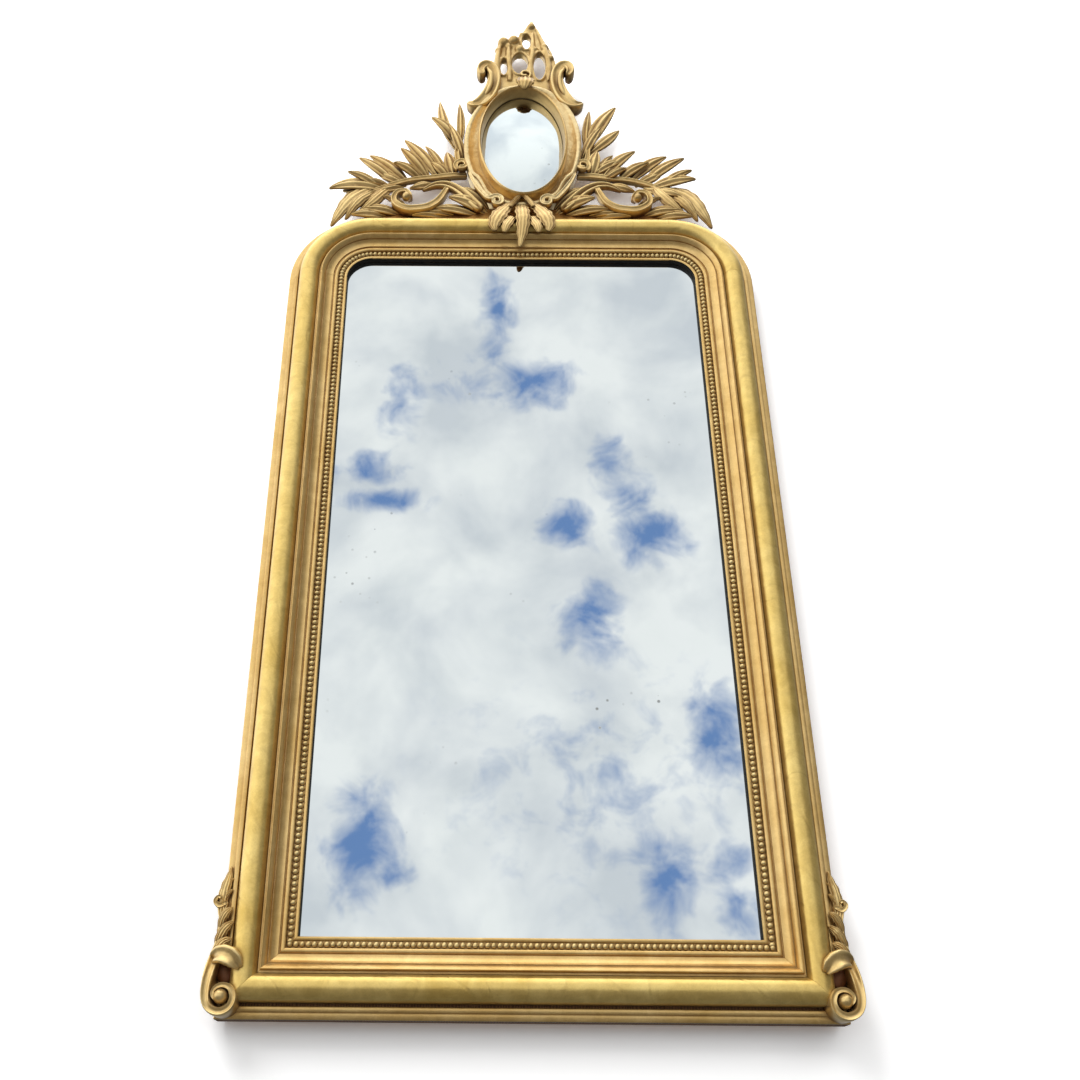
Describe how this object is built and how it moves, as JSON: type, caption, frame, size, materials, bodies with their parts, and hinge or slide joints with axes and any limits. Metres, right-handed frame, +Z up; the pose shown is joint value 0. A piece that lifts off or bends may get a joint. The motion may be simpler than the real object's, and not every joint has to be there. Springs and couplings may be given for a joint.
{
  "type": "trumeau mirror",
  "caption": "Tall giltwood trumeau mirror: rounded top corners, pearl border, carved pierced crest with an oval bevelled mirror, curled ears at the foot, swinging hanging rings behind.",
  "frame": {"origin": "on the base of the frame, on its centre line, at the middle of the pine carcass's thickness", "axes": "+X to the right as seen from the room, +Y towards the wall, +Z up"},
  "size_m": [0.83, 0.0838, 1.864],
  "materials": {
    "giltwood": "worn gold leaf over red-brown bole and gesso on carved wood",
    "pine": "raw, aged and darkened",
    "silvered_glass": "old silvered plate with small spots",
    "iron": "forged iron with dark oxide"
  },
  "bodies": {
    "mirror": {"acanthus_pendant": "giltwood", "back_nails": "iron", "back_plank_1": "pine", "back_plank_2": "pine", "back_plank_3": "pine", "bezel_clasp": "giltwood", "bottom_inner_moulding": "giltwood", "bottom_lip": "giltwood", "bottom_pearls": "giltwood", "bottom_rail": "pine", "bottom_torus": "giltwood", "cartouche_body": "giltwood", "crest_base_rail": "giltwood", "crest_nails": "iron", "glazing_blocks": "pine", "hanger_screws": "iron", "left_c_scroll": "giltwood", "left_corner_block": "pine", "left_corner_inner_moulding": "giltwood", "left_corner_lip": "giltwood", "left_corner_torus": "giltwood", "left_crest_batten": "pine", "left_ear_leaf": "giltwood", "left_ear_scroll": "giltwood", "left_hanger_strap": "iron", "left_inner_moulding": "giltwood", "left_laurel_branch": "giltwood", "left_lip": "giltwood", "left_pearls": "giltwood", "left_s_scroll": "giltwood", "left_stile": "pine", "left_torus": "giltwood", "mirror_plate": "silvered_glass", "oval_backing_board": "pine", "oval_bezel": "giltwood", "oval_glass": "silvered_glass", "pierced_finial": "giltwood", "right_c_scroll": "giltwood", "right_corner_block": "pine", "right_corner_inner_moulding": "giltwood", "right_corner_lip": "giltwood", "right_corner_torus": "giltwood", "right_crest_batten": "pine", "right_ear_leaf": "giltwood", "right_ear_scroll": "giltwood", "right_hanger_strap": "iron", "right_inner_moulding": "giltwood", "right_laurel_branch": "giltwood", "right_lip": "giltwood", "right_pearls": "giltwood", "right_s_scroll": "giltwood", "right_stile": "pine", "right_torus": "giltwood", "top_inner_moulding": "giltwood", "top_lip": "giltwood", "top_pearls": "giltwood", "top_rail": "pine", "top_torus": "giltwood"},
    "left_ring": {"left_hanging_ring": "iron"},
    "right_ring": {"right_hanging_ring": "iron"}
  },
  "joints": [
    {"name": "left_ring_swing", "type": "hinge", "parent": "mirror", "child": "left_ring", "pos_m": [-0.357, 0.0174, 1.12], "axis": [1, 0, 0], "range_deg": [0, 165]},
    {"name": "right_ring_swing", "type": "hinge", "parent": "mirror", "child": "right_ring", "pos_m": [0.357, 0.0174, 1.12], "axis": [1, 0, 0], "range_deg": [0, 165]}
  ]
}
